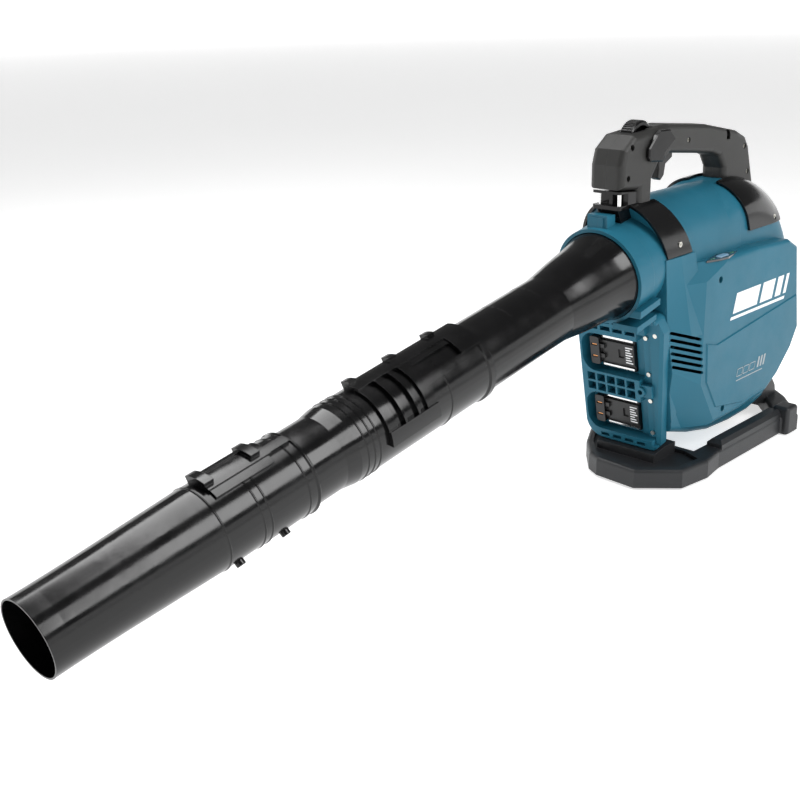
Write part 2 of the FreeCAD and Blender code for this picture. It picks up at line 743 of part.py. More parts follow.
def speed_lever():
    """The ribbed thumb wheel, its axle and the pointed arm outside the left handle half."""
    wheel = cylinder(LEVER_R, (-9.5, LEVER_Y, LEVER_Z), (9.5, LEVER_Y, LEVER_Z))
    wheel = wheel.makeChamfer(1.5, [edge for edge in wheel.Edges if at_x(edge, 9.5) or at_x(edge, -9.5)])
    hollow = ring(LEVER_R - 5, 9, (3, LEVER_Y, LEVER_Z), (11, LEVER_Y, LEVER_Z))
    wheel = wheel.cut(hollow).cut(mirrored(hollow))
    ribs = []
    for step in range(-7, 8):
        angle = math.radians(90 + 7.5 * step)
        y, z = LEVER_Y + LEVER_R * math.cos(angle), LEVER_Z + LEVER_R * math.sin(angle)
        ribs.append(cylinder(1.1, (-7.5, y, z), (7.5, y, z)))
    axle = cylinder(5.0, (-26, LEVER_Y, LEVER_Z), (28, LEVER_Y, LEVER_Z))
    arm = yz_prism([
        (58, 424), (58, 434), (74, 449), (81, 454), (104, 453), (118, 440), (93, 425), (90, 415), (63, 418),
    ], 24.5, 29.5)
    arm = arm.makeChamfer(1.5, [edge for edge in arm.Edges if at_x(edge, 29.5)])
    cap = cylinder(8, (-27.5, LEVER_Y, LEVER_Z), (-24.5, LEVER_Y, LEVER_Z))
    return join([wheel, axle, arm, cap] + ribs)


def switch_unit():
    case = box(-9, 9, 182, 214, 417, 436)
    return join([case, box(-6, 6, 176, 182, 419, 427)])


# ------------------------------------------------------------------ fan and motor, along X
def disc_x(radius, x_low, x_high):
    return cylinder(radius, (x_low, DRUM_Y, DRUM_Z), (x_high, DRUM_Y, DRUM_Z))


def ring_x(outer, inner, x_low, x_high):
    return disc_x(outer, x_low, x_high).cut(disc_x(inner, x_low, x_high))


def turned_about_motor(shape, count):
    copies = []
    for index in range(count):
        copy = shape.copy()
        copy.rotate(V(0, DRUM_Y, DRUM_Z), X_AXIS, 360.0 * index / count)
        copies.append(copy)
    return copies


def rotor_shaft():
    return disc_x(SHAFT_R, -67, 58)


def impeller():
    hub = ring_x(16, SHAFT_R, -60, -18)
    back = ring_x(IMPELLER_R, 15, -20, -17.5)
    shroud = ring_x(IMPELLER_R, INTAKE_R + 4, -60, -57.5)
    radius = 62.0
    outer = Part.makeCylinder(radius, 40.5, V(-59, DRUM_Y + 48, DRUM_Z + 44), X_AXIS)
    inner = Part.makeCylinder(radius - 2, 40.5, V(-59, DRUM_Y + 48, DRUM_Z + 44), X_AXIS)
    room = ring_x(IMPELLER_R, 15, -59, -18.5)
    keep = box(-70, 0, DRUM_Y - 100, DRUM_Y + 200, DRUM_Z - 200, DRUM_Z)
    blade = outer.cut(inner).common(room).common(keep)
    blade = biggest(blade)
    return join([hub, back, shroud] + turned_about_motor(blade, 11))


def impeller_nut():
    corners = [(DRUM_Y + 9 * math.cos(math.radians(60 * k)), DRUM_Z + 9 * math.sin(math.radians(60 * k)))
               for k in range(6)]
    return yz_prism(corners, -65, -60).cut(disc_x(SHAFT_R, -70, -55))


def rotor_magnet():
    return ring_x(20, SHAFT_R, 8, 38)


def bearing(x_low):
    return ring_x(BEARING_R, SHAFT_R + 0.05, x_low, x_low + BEARING_WIDTH)


def motor_plate():
    """The wall between fan and motor, with the front bearing's seat and the motor's can."""
    plate = ring_x(112, 6.5, -12, -9)
    seat = ring_x(15, BEARING_R, -9, -1.0)
    can = ring_x(STATOR_R + 2.5, STATOR_R, -9, 44)
    openings = turned_about_motor(cylinder(3.5, (-9, DRUM_Y, DRUM_Z + 27), (-13, DRUM_Y, DRUM_Z + 27)), 8)
    windows = turned_about_motor(box(4, 34, DRUM_Y - 5, DRUM_Y + 5, DRUM_Z + 30, DRUM_Z + 40), 4)
    plate = join([plate, seat, can]).cut(join(openings + windows))
    return plate.cut(housing_screws())


def stator():
    core = ring_x(STATOR_R, STATOR_R - 4, 8, 38)
    tooth = box(8, 38, DRUM_Y - 2.5, DRUM_Y + 2.5, DRUM_Z + 21.5, DRUM_Z + 31)
    tip = ring_x(23, 21, 8, 38).common(box(0, 50, DRUM_Y - 8, DRUM_Y + 8, DRUM_Z, DRUM_Z + 40))
    return join([core] + turned_about_motor(join([tooth, tip]), 6))


def stator_coils():
    """Six copper windings, each round its own tooth."""
    around = box(4.5, 41.5, DRUM_Y - 6.5, DRUM_Y + 6.5, DRUM_Z + 23.6, DRUM_Z + 28.6)
    hole = box(8, 38, DRUM_Y - 2.5, DRUM_Y + 2.5, DRUM_Z + 10, DRUM_Z + 40)
    return group(turned_about_motor(around.cut(hole), 6))


def motor_cap():
    cap = ring_x(STATOR_R + 2.5, 14, 44, 47)
    seat = ring_x(15, BEARING_R, 44, 53)
    return join([cap, seat])


def volute():
    """The scroll round the impeller, open towards the duct at the top front."""
    steps = 40
    first, last = -150.0, 95.0
    outer, inner = [], []
    for index in range(steps + 1):
        share = index / steps
        angle = math.radians(first + (last - first) * share)
        radius = 108 - 20 * share
        for points, r in ((outer, radius + 2.2), (inner, radius)):
            points.append((DRUM_Y + r * math.cos(angle), DRUM_Z + r * math.sin(angle)))
    return yz_prism(outer + inner[::-1], -58, -12)


def controller_box():
    case = box(14, 70, 196, 292, 80, 108)
    fins = [box(18, 66, y, y + 2, 108, 116) for y in range(200, 288, 8)]
    return join([case] + fins)


def intake_grille():
    """A dished cover over the air inlet on the right side, with rings of slots."""
    x_out = -BLOCK_RIGHT - 14
    rim = ring_x(GRILLE_R, GRILLE_R - 3, x_out, -BLOCK_RIGHT)
    face = disc_x(GRILLE_R, x_out - 3, x_out)
    flange = ring_x(GRILLE_R, GRILLE_R - 9, -BLOCK_RIGHT - 3, -BLOCK_RIGHT)
    cover = join([rim, face, flange])
    cover = filleted(cover, 5.0, lambda edge: at_x(edge, x_out - 3))
    slots = []
    for radius in (20, 29, 38, 47, 56):
        slots.append(ring_x(radius + 3, radius - 2, x_out - 4, x_out + 1))
    spokes = turned_about_motor(
        box(x_out - 5, x_out + 2, DRUM_Y - 2.2, DRUM_Y + 2.2, DRUM_Z, DRUM_Z + 70), 8)
    slots = join(slots).cut(join(spokes))
    side = turned_about_motor(
        box(x_out + 3, -BLOCK_RIGHT - 4, DRUM_Y - 4, DRUM_Y + 4, DRUM_Z + 60, DRUM_Z + 80), 24)
    return biggest(cover.cut(slots).cut(join(side)).cut(intake_screws()))


def intake_screws():
    screw = screw_x(DRUM_Y, DRUM_Z + GRILLE_R - 6, -BLOCK_RIGHT - 3, 12, head_r=2.6, shank_r=1.5)
    screws = turned_about_motor(screw, 3)
    return group(screws)


# ------------------------------------------------------------------ battery module
def bay_low(index):
    return BAY_LOW + BAY_PITCH * index


def module_screw(x, w, seat):
    head = Part.makeCylinder(3.0, 2.0, V(x, seat, w), V(0, -1, 0))
    shank = Part.makeCylinder(1.6, 32.0 - seat, V(x, seat, w), Y_AXIS)
    return head.fuse(shank)


# (x, height up the face, depth of the head's seat)
MODULE_SCREWS = [(37, 161, 12), (53, 168, 10), (38, 109, 12), (38, 70, 12), (38, 22, 12)]


def module_screws():
    return in_module(group(module_screw(*place) for place in MODULE_SCREWS))


def battery_frame():
    outline = [
        (-MODULE_HALF, 0), (49, 0), (65, 172), (58, MODULE_HEIGHT), (-MODULE_HALF, MODULE_HEIGHT),
    ]
    plate = xz_prism(outline, 0, MODULE_DEPTH)
    corner = [edge for edge in plate.Edges if is_along(edge, Y_AXIS)]
    far_low = [edge for edge in corner if edge.BoundBox.XMax < 0 and edge.BoundBox.ZMax < 1]
    plate = plate.makeFillet(26, far_low)
    plate = filleted(plate, 9, lambda edge: is_along(edge, Y_AXIS) and edge.BoundBox.XMin > 0)
    plate = filleted(plate, 3.0, lambda edge: edge.BoundBox.YMax < 1e-6)
    cuts = []
    for index in (0, 1):
        low = bay_low(index)
        bay = box(-57, 20, -1, BAY_DEPTH, low, low + BAY_HEIGHT)
        rounds = [edge for edge in bay.Edges if is_along(edge, Y_AXIS) and edge.BoundBox.XMax < 0]
        bay = bay.makeFillet(20, rounds)
        cuts += [bay, box(10, 32, -1, BAY_DEPTH - 2, low, low + BAY_HEIGHT)]
    cuts.append(box(30, 44.5, -1, 12, BAY_LOW, 170))
    cuts.append(box(43, FAR, -1, 8, 8, MODULE_HEIGHT - 8))
    bevel = xy_prism([(43, 7), (60, 7), (60, 18)], -5, MODULE_HEIGHT + 5)
    bevel.rotate(V(49, 0, 0), Y_AXIS, 5.3)
    cuts.append(bevel)
    mid_low = BAY_LOW + BAY_HEIGHT
    for column in range(5):
        x = -52 + 15.5 * column
        cuts.append(box(x, x + 12.5, -1, 13, mid_low + 3.5, mid_low + 14.5))
        cuts.append(box(x, x + 12.5, -1, 13, mid_low + 17.5, mid_low + 28.5))
    for column in range(4):
        x = -38 + 19 * column
        cuts.append(box(x, x + 13, -1, 10, 5, 9.5))
        cuts.append(box(x - 6, x + 9, -1, 12, 166, 172))
        cuts.append(box(x - 6, x + 9, -1, 12, 177, 186))
    frame = plate.cut(join(cuts))
    boss = Part.makeCylinder(7.0, MODULE_DEPTH, V(30, 0, mid_low + 15), Y_AXIS)
    web = box(22, 46, 3, MODULE_DEPTH, mid_low + 7, mid_low + 25)
    frame = join([frame, boss, web]).cut(Part.makeCylinder(3.4, 16, V(30, 0, mid_low + 15), Y_AXIS))
    frame = in_module(frame.removeSplitter())
    for other in (module_screws(), stand_screws(), join([envelope(0)] + collar_details())):
        frame = frame.cut(other)
    return biggest(frame)


def terminal_carrier(index):
    """Black moulding on a bay's floor: the plate between the rails and the terminal block."""
    low = bay_low(index) + 4
    plate = box(-34, 18, BAY_DEPTH - 5, BAY_DEPTH, low, low + 48)
    step = box(-34, 18, BAY_DEPTH - 8, BAY_DEPTH - 4, low + 9, low + 39)
    block = box(-47, -33, BAY_DEPTH - 13, BAY_DEPTH, low + 4, low + 44)
    block = filleted(block, 3.0, lambda edge: is_along(edge, Y_AXIS))
    tabs = [box(-33, -26, BAY_DEPTH - 11, BAY_DEPTH - 4, w, w + 6) for w in (low + 14, low + 28)]
    body = join([plate, step, block] + tabs)
    slots = [box(-45, -36, BAY_DEPTH - 14, BAY_DEPTH - 4, w, w + 3) for w in (low + 14, low + 31)]
    pocket = box(-6, 2, BAY_DEPTH - 9, BAY_DEPTH - 6, low + 18, low + 30)
    return in_module(body.cut(join(slots)).cut(pocket))


def contact_blades():
    blades = []
    for index in (0, 1):
        low = bay_low(index) + 4
        for w in (low + 15, low + 32):
            blades.append(box(-44, -37, BAY_DEPTH - 12, BAY_DEPTH - 4, w, w + 1))
    return in_module(group(blades))


def bay_rails():
    rails = []
    for index in (0, 1):
        low = bay_low(index) + 4
        for w in (low + 2, low + 43):
            rails.append(box(-31, 17, BAY_DEPTH - 7.5, BAY_DEPTH - 5, w, w + 3))
    return in_module(group(rails))


# ------------------------------------------------------------------ floor stand
PADS = [(72, 84, 30), (-58, 100, 30), (97, 338, 22), (-97, 338, 22)]
STAND_WALL = 5.0


def both_sides(points):
    return points + [(-x, y) for x, y in points[::-1]]


def grown_prism(corners, grow, z_low, z_high):
    wire = Part.makePolygon([V(x, y, z_low) for x, y in corners + corners[:1]])
    face = Part.Face(wire.makeOffset2D(grow, 2))
    return face.extrude(V(0, 0, z_high - z_low))


def grown_pad(x, y, length, grow):
    half = 9 + grow
    return box(x - half, x + half, y - length / 2 - grow, y + length / 2 + grow, 0, PLATE_TOP - 4)


def floor_stand():
    rear = both_sides([
        (99, 150), (99, 320), (STAND_HALF, 330), (STAND_HALF, 352), (98, 366), (60, 410), (26, STAND_REAR),
    ])
    far_front = [(-84, 112), (-62, 72), (-32, 36), (-12, 25)]
    outline = [(50, STAND_FRONT), (98, 60), (105, 112)] + rear + far_front
    loop_outer = xy_prism(outline, PAD, PLATE_TOP)
    hole = both_sides([(70, 132), (74, 320), (78, 336), (40, 384), (18, 408)])
    opening = xy_prism(hole, -1, 80)
    loop = loop_outer.cut(opening)
    loop = filleted(loop, 5.0, lambda edge: at_z(edge, PLATE_TOP))
    tray_outline = [(46, 32), (86, 66), (91, 108), (64, 120), (-60, 120), (-72, 108), (-52, 74), (-26, 44)]
    loop = loop.cut(xy_prism(tray_outline, PLATE_TOP - 5, 60))
    inside = grown_prism(outline, -STAND_WALL, 0, PLATE_TOP - 10).cut(grown_prism(hole, STAND_WALL, -1, 80))
    lands = [grown_pad(x, y, length, 3.0) for x, y, length in PADS]
    loop = loop.cut(inside.cut(join(lands)))
    arm = box(75, 98, 158, 326, PLATE_TOP - 8, PLATE_TOP + 10)
    arm = arm.makeChamfer(5.0, [edge for edge in arm.Edges if at_z(edge, PLATE_TOP + 10)])
    foot = box(84, STAND_HALF, 322, 352, PAD, PLATE_TOP + 14)
    foot = filleted(foot, 5.0, lambda edge: at_z(edge, PLATE_TOP + 14) or is_along(edge, Z_AXIS))
    pedestal = xy_prism([(-40, 66), (50, 66), (50, 118), (-40, 118)], PLATE_TOP - 6, 39)
    bridge_side = [(296, 30), (330, 62), (372, 92), (414, 40), (418, 20), (384, 18), (330, 34)]
    bridge = yz_prism(bridge_side, -40, 40)
    stand = join([loop, arm, mirrored(arm), foot, mirrored(foot), pedestal, bridge])
    solid_body = envelope(0).fuse(in_module(box(-80, 80, -10, 60, 0, 300)))
    return biggest(stand.cut(solid_body).cut(stand_screws()))


def stand_screws():
    screws = []
    for x, y, z in ((-30, 92, PLATE_TOP - 4), (38, 92, PLATE_TOP - 4)):
        head = cylinder(4.0, (x, y, z - 2.4), (x, y, z))
        shank = cylinder(2.0, (x, y, z), (x, y, z + 24))
        screws.append(head.fuse(shank))
    return group(screws)


def foot_pads():
    pads = [box(x - 9, x + 9, y - length / 2, y + length / 2, 0, PAD) for x, y, length in PADS]
    return group(filleted(pad, 4.0, lambda edge: is_along(edge, Z_AXIS)) for pad in pads)


# ------------------------------------------------------------------ all nodes
def nodes():
    left, right = housings()
    front_left, front_right = front_covers()
    handle_left, handle_right = handle_halves()
    return {
        "left_housing": left,
        "right_housing": right,
        "indicator_panel": indicator_panel(),
        "check_button": check_button(),
        "housing_screws": housing_screws(),
        "front_cover_left": front_left,
        "front_cover_right": front_right,
        "rear_cover_left": rear_cover(1, DRUM_FLAT_LEFT),
        "rear_cover_right": rear_cover(-1, DRUM_FLAT_RIGHT),
        "cover_screws": cover_screws(),
        "handle_left": handle_left,
        "handle_right": handle_right,
        "handle_screws": handle_screws(),
        "strap_bracket": strap_bracket(),
        "strap_rods": strap_rod(),
        "trigger": trigger(),
        "trigger_pin": trigger_pin(),
        "trigger_spring": trigger_spring(),
        "speed_lever": speed_lever(),
        "switch_unit": switch_unit(),
        "front_nozzle": front_nozzle(),
        "front_lock": front_lock(),
        "lock_pegs": lock_pegs(),
        "middle_tube": middle_tube(),
        "middle_lock": middle_lock(),
        "rear_nozzle": rear_nozzle(),
        "nozzle_seal": nozzle_seal(),
        "impeller": impeller(),
        "impeller_nut": impeller_nut(),
        "rotor_shaft": rotor_shaft(),
        "rotor_magnet": rotor_magnet(),
        "front_bearing": bearing(-9.0),
        "rear_bearing": bearing(46.0),
        "motor_plate": motor_plate(),
        "motor_cap": motor_cap(),
        "stator": stator(),
        "stator_coils": stator_coils(),
        "volute": volute(),
        "controller_box": controller_box(),
        "intake_grille": intake_grille(),
        "intake_screws": intake_screws(),
        "battery_frame": battery_frame(),
        "terminal_carrier_upper": terminal_carrier(1),
        "terminal_carrier_lower": terminal_carrier(0),
        "contact_blades": contact_blades(),
        "bay_rails": bay_rails(),
        "module_screws": module_screws(),
        "floor_stand": floor_stand(),
        "stand_screws": stand_screws(),
        "foot_pads": foot_pads(),
    }


def main():
    os.makedirs("parts", exist_ok=True)
    for name, shape in nodes().items():
        shape.translate(V(0, CENTRE_SHIFT, 0))
        if not shape.isValid() or not shape.Solids:
            print("check", name, len(shape.Solids), shape.isValid())
        shape.exportStep(f"parts/{name}.step")


main()
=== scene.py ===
"""Looks for the handheld cordless leaf blower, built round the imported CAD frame.

Row frame, metres: +X is the operator's left (the panel side), the nozzle points to -Y, +Z is up.
"""
import json
import math

import bmesh
import bpy
from mathutils import Matrix, Vector


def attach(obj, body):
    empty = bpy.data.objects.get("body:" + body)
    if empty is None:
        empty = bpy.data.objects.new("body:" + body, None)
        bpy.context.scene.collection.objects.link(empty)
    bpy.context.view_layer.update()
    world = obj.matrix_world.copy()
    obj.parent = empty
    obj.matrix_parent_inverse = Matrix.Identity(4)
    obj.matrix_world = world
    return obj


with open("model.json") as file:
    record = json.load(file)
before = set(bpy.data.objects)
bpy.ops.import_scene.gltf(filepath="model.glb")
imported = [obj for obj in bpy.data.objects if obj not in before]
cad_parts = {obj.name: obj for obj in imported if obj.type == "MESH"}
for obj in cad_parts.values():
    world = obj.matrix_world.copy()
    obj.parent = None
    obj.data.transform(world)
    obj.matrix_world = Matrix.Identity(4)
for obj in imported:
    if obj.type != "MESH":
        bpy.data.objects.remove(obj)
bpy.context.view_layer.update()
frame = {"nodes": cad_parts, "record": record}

NODES = frame["nodes"]


# ------------------------------------------------------------------ camera
AZIMUTH, ELEVATION, ROLL = 44.571, 19.534, -1.617
CAMERA_AT = Vector((0.842, -1.0235, 0.6427))
LENS, SENSOR = 54.0, 36.0


def make_camera():
    data = bpy.data.cameras.new("camera")
    data.lens = LENS
    data.sensor_width = SENSOR
    camera = bpy.data.objects.new("camera", data)
    bpy.context.scene.collection.objects.link(camera)
    az, el = math.radians(AZIMUTH), math.radians(ELEVATION)
    forward = Vector((-math.sin(az) * math.cos(el), math.cos(az) * math.cos(el), -math.sin(el)))
    rotation = forward.to_track_quat("-Z", "Y").to_matrix().to_4x4()
    rotation = rotation @ Matrix.Rotation(math.radians(ROLL), 4, "Z")
    camera.matrix_world = Matrix.Translation(CAMERA_AT) @ rotation
    bpy.context.scene.camera = camera


make_camera()


# ------------------------------------------------------------------ materials
def new_material(name):
    material = bpy.data.materials.new(name)
    material.use_nodes = True
    tree = material.node_tree
    return material, tree, tree.nodes["Principled BSDF"]


def ramp(tree, source, low, high, out_low, out_high):
    """The source's range from low to high, clamped and mapped to out_low to out_high."""
    node = tree.nodes.new("ShaderNodeMapRange")
    node.inputs["From Min"].default_value = low
    node.inputs["From Max"].default_value = high
    node.inputs["To Min"].default_value = out_low
    node.inputs["To Max"].default_value = out_high
    tree.links.new(source, node.inputs["Value"])
    return node.outputs["Result"]


def noise(tree, scale, detail=4.0, roughness=0.55, stretch=None):
    """Noise in the object's own metres, which stretch squeezes along each axis."""
    place = tree.nodes.new("ShaderNodeTexCoord").outputs["Object"]
    if stretch:
        mapping = tree.nodes.new("ShaderNodeMapping")
        mapping.inputs["Scale"].default_value = stretch
        tree.links.new(place, mapping.inputs["Vector"])
        place = mapping.outputs["Vector"]
    node = tree.nodes.new("ShaderNodeTexNoise")
    node.inputs["Scale"].default_value = scale
    node.inputs["Detail"].default_value = detail
    node.inputs["Roughness"].default_value = roughness
    tree.links.new(place, node.inputs["Vector"])
    return node.outputs["Fac"]


def mix_colour(tree, factor, first, second):
    """first and second are colours or sockets."""
    node = tree.nodes.new("ShaderNodeMix")
    node.data_type = "RGBA"
    sockets = [s for s in node.inputs if s.type == "RGBA"]
    tree.links.new(factor, node.inputs["Factor"])
    for socket, value in zip(sockets, (first, second)):
        if isinstance(value, bpy.types.NodeSocket):
            tree.links.new(value, socket)
        else:
            socket.default_value = (*value, 1)
    return [s for s in node.outputs if s.type == "RGBA"][0]


def edge_mask(tree, radius):
    """Bright where the surface bends sharply within radius, for worn edges."""
    bevel = tree.nodes.new("ShaderNodeBevel")
    bevel.samples = 4
    bevel.inputs["Radius"].default_value = radius
    geometry = tree.nodes.new("ShaderNodeNewGeometry")
    dot = tree.nodes.new("ShaderNodeVectorMath")
    dot.operation = "DOT_PRODUCT"
    tree.links.new(bevel.outputs["Normal"], dot.inputs[0])
    tree.links.new(geometry.outputs["Normal"], dot.inputs[1])
    return ramp(tree, dot.outputs["Value"], 0.995, 0.93, 0.0, 1.0), bevel.outputs["Normal"]


def scaled(colour, factor):
    return tuple(min(1.0, c * factor) for c in colour)


GRAIN_HEIGHT, RIPPLE_HEIGHT, STREAK_HEIGHT = 0.0002, 0.001, 0.0001


def moulded(name, colour, rough, grain=0.0, grain_scale=1800.0, wear=0.12, variation=0.12,
            coat=0.0, coat_rough=0.1, edge=0.0009, smudge=0.0, specular=0.5):
    """Moulded plastic: mottled colour, moulding grain, smudged gloss and paler edges."""
    material, tree, shader = new_material(name)
    cloud = noise(tree, 9.0, 3.0)
    mottled = mix_colour(tree, ramp(tree, cloud, 0.3, 0.7, 0.0, 1.0),
                         scaled(colour, 1 - variation), scaled(colour, 1 + variation))
    speck = ramp(tree, noise(tree, 900.0, 2.0), 0.62, 0.78, 0.0, 0.35)
    specked = mix_colour(tree, speck, mottled, scaled(colour, 1.25))
    mask, rounded = edge_mask(tree, edge)
    worn_amount = tree.nodes.new("ShaderNodeMath")
    worn_amount.operation = "MULTIPLY"
    tree.links.new(mask, worn_amount.inputs[0])
    rubbed = noise(tree, 120.0, 5.0)
    tree.links.new(ramp(tree, rubbed, 0.4, 0.7, 0.2 * wear, wear), worn_amount.inputs[1])
    pale = tuple(min(1.0, 0.5 * c + 0.16) for c in colour)
    worn = mix_colour(tree, worn_amount.outputs[0], specked, pale)
    tree.links.new(worn, shader.inputs["Base Color"])
    handled = noise(tree, 26.0, 6.0, 0.65)
    gloss = ramp(tree, handled, 0.35, 0.7, rough - smudge, rough + smudge + 0.03)
    tree.links.new(gloss, shader.inputs["Roughness"])
    bump = tree.nodes.new("ShaderNodeBump")
    bump.inputs["Strength"].default_value = grain
    bump.inputs["Distance"].default_value = GRAIN_HEIGHT
    tree.links.new(noise(tree, grain_scale, 3.0, 0.7), bump.inputs["Height"])
    ripple = tree.nodes.new("ShaderNodeBump")
    ripple.inputs["Strength"].default_value = 0.05
    ripple.inputs["Distance"].default_value = RIPPLE_HEIGHT
    tree.links.new(noise(tree, 30.0, 2.0), ripple.inputs["Height"])
    tree.links.new(rounded, ripple.inputs["Normal"])
    tree.links.new(ripple.outputs["Normal"], bump.inputs["Normal"])
    tree.links.new(bump.outputs["Normal"], shader.inputs["Normal"])
    shader.inputs["Specular IOR Level"].default_value = specular
    shader.inputs["Coat Weight"].default_value = coat
    shader.inputs["Coat Roughness"].default_value = coat_rough
    return material


def metal(name, colour, rough, streak=(1, 1, 1), streak_scale=400.0, bump_strength=0.1, tarnish=0.15):
    """Bare or plated metal with fine machining streaks and a little tarnish."""
    material, tree, shader = new_material(name)
    lines = noise(tree, streak_scale, 4.0, 0.6, stretch=streak)
    dull = ramp(tree, noise(tree, 60.0, 4.0), 0.45, 0.75, 0.0, tarnish)
    tree.links.new(mix_colour(tree, dull, colour, scaled(colour, 0.45)), shader.inputs["Base Color"])
    tree.links.new(ramp(tree, lines, 0.3, 0.7, rough * 0.8, rough * 1.3), shader.inputs["Roughness"])
    bump = tree.nodes.new("ShaderNodeBump")
    bump.inputs["Strength"].default_value = bump_strength
    bump.inputs["Distance"].default_value = STREAK_HEIGHT
    tree.links.new(lines, bump.inputs["Height"])
    tree.links.new(bump.outputs["Normal"], shader.inputs["Normal"])
    shader.inputs["Metallic"].default_value = 1.0
    return material


TEAL = (0.014, 0.120, 0.182)
BLACK = (0.0035, 0.0035, 0.0038)
GRIP = (0.021, 0.021, 0.020)
STAND = (0.017, 0.018, 0.020)
BUTTON = (0.24, 0.40, 0.56)
MATERIALS = {
    "teal_housing": moulded("teal_plastic", TEAL, 0.38, grain=0.14, wear=0.10,
                            variation=0.06, smudge=0.05, specular=0.26),
    "gloss_black": moulded("gloss_black_plastic", BLACK, 0.16, grain=0.02, wear=0.07,
                           variation=0.25, smudge=0.05, edge=0.0006, specular=0.42),
    "grip_grey": moulded("grip_plastic", GRIP, 0.44, grain=0.35, wear=0.10,
                         variation=0.1, specular=0.4),
    "stand_black": moulded("stand_plastic", STAND, 0.42, grain=0.4, wear=0.14,
                           variation=0.12, specular=0.4),
    "inner_black": moulded("inner_plastic", (0.006, 0.006, 0.0065), 0.32, grain=0.12, wear=0.08),
    "rubber": moulded("pad_rubber", (0.012, 0.012, 0.012), 0.75, grain=0.5, wear=0.05),
    "screw_steel": metal("zinc_screw", (0.66, 0.65, 0.60), 0.3, streak_scale=900.0),
    "rail_steel": metal("bright_steel", (0.82, 0.82, 0.82), 0.14, streak=(0.1, 1, 1),
                        streak_scale=1500.0),
    "lens": moulded("dark_lens", (0.008, 0.011, 0.016), 0.08, coat=1.0, coat_rough=0.03, wear=0.0),
    "button_blue": moulded("pale_blue_button", BUTTON, 0.22, coat=0.6, wear=0.05, variation=0.05),
    "fan_plastic": moulded("fan_nylon", (0.05, 0.05, 0.055), 0.4, grain=0.2),
    "core_steel": metal("laminated_steel", (0.35, 0.35, 0.37), 0.35, streak=(8, 1, 1),
                        streak_scale=900.0),
    "copper": metal("enamelled_copper", (0.78, 0.36, 0.16), 0.25, streak=(1, 8, 1),
                    streak_scale=1200.0),
    "magnet": metal("ground_magnet", (0.18, 0.18, 0.19), 0.3),
    "alloy": metal("cast_alloy", (0.62, 0.63, 0.65), 0.42, bump_strength=0.3, streak_scale=1500.0),
}
PRINT_WHITE = moulded("printed_white", (0.82, 0.83, 0.84), 0.42, grain=0.05, wear=0.0,
                      variation=0.04, edge=0.0001)
PRINT_GREY = moulded("printed_grey", (0.30, 0.34, 0.36), 0.42, grain=0.05, wear=0.0,
                     variation=0.06, edge=0.0001)


def dress_nodes():
    """Every CAD node gets the material of its slot."""
    for part in frame["record"]["subparts"]:
        node = NODES[part["node"]]
        node.data.materials.clear()
        node.data.materials.append(MATERIALS[part["material_slot"]])


dress_nodes()


# ------------------------------------------------------------------ printed marks and small pieces
# Places below are design millimetres: x to the operator's left, y from the collar mouth, z up.
CENTRE_SHIFT = 188.961
TILT = math.radians(10.76)
BAY_FOOT_Y, BAY_FOOT_Z = 73.7, 36.0
PANEL_X, LOWER_PANEL_X = 80.0, 81.6
INK = 0.00015
LAMP_RADIUS = 0.00115
INLET_SCREEN_AT = (-73.0, 260, 203)


def from_design(x, y, z):
    """A design point as the row frame's metres."""
    return Vector((x, y + CENTRE_SHIFT, z)) / 1000


def from_bay(x, depth, height):
    """A point of the leaning battery face, given by its depth behind the face and its height up it."""
    y = BAY_FOOT_Y + depth * math.cos(TILT) - height * math.sin(TILT)
    z = BAY_FOOT_Z + depth * math.sin(TILT) + height * math.cos(TILT)
    return from_design(x, y, z)


def thin_print(name, outlines, outward, material):
    """Flat inked shapes, each a list of points on the surface, raised a little along outward."""
    work = bmesh.new()
    lift = Vector(outward).normalized() * INK
    for outline in outlines:
        low = [work.verts.new(point + lift * 0.3) for point in outline]
        high = [work.verts.new(point + lift * 1.3) for point in outline]
        work.faces.new(high)
        work.faces.new(low[::-1])
        for index in range(len(outline)):
            after = (index + 1) % len(outline)
            work.faces.new((low[index], low[after], high[after], high[index]))
    bmesh.ops.recalc_face_normals(work, faces=work.faces[:])
    mesh = bpy.data.meshes.new(name)
    work.to_mesh(mesh)
    work.free()
    piece = bpy.data.objects.new(name, mesh)
    bpy.context.scene.collection.objects.link(piece)
    mesh.materials.append(material)
    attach(piece, "machine")


def slanted_bar(x, y_low, y_high, z_low, z_high, slant=8.0):
    """A bar on a side panel whose top edge lies further back than its foot by slant."""
    return [
        from_design(x, y_low, z_low),
        from_design(x, y_high, z_low),
        from_design(x, y_high + slant, z_high),
        from_design(x, y_low + slant, z_high),
    ]


def frame_bars(x, y_low, y_high, z_low, z_high, line=1.0):
    """Four thin bars round a box that slants by 3 mm."""
    return [
        slanted_bar(x, y_low, y_high, z_low, z_low + line, 0.3),
        slanted_bar(x, y_low + 3, y_high + 3, z_high - line, z_high, 0.3),
        slanted_bar(x, y_low, y_low + line, z_low, z_high, 3.0),
        slanted_bar(x, y_high - line, y_high, z_low, z_high, 3.0),
    ]


def panel_stripes():
    """The large stripe mark: four slanted bars that narrow towards the back, over one long line."""
    bars = ((196, 64), (268, 34), (310, 16), (334, 8))
    stripes = [slanted_bar(PANEL_X, y, y + wide, 205, 232) for y, wide in bars]
    stripes.append(slanted_bar(PANEL_X, 190, 338, 197, 201, 1.5))
    return stripes


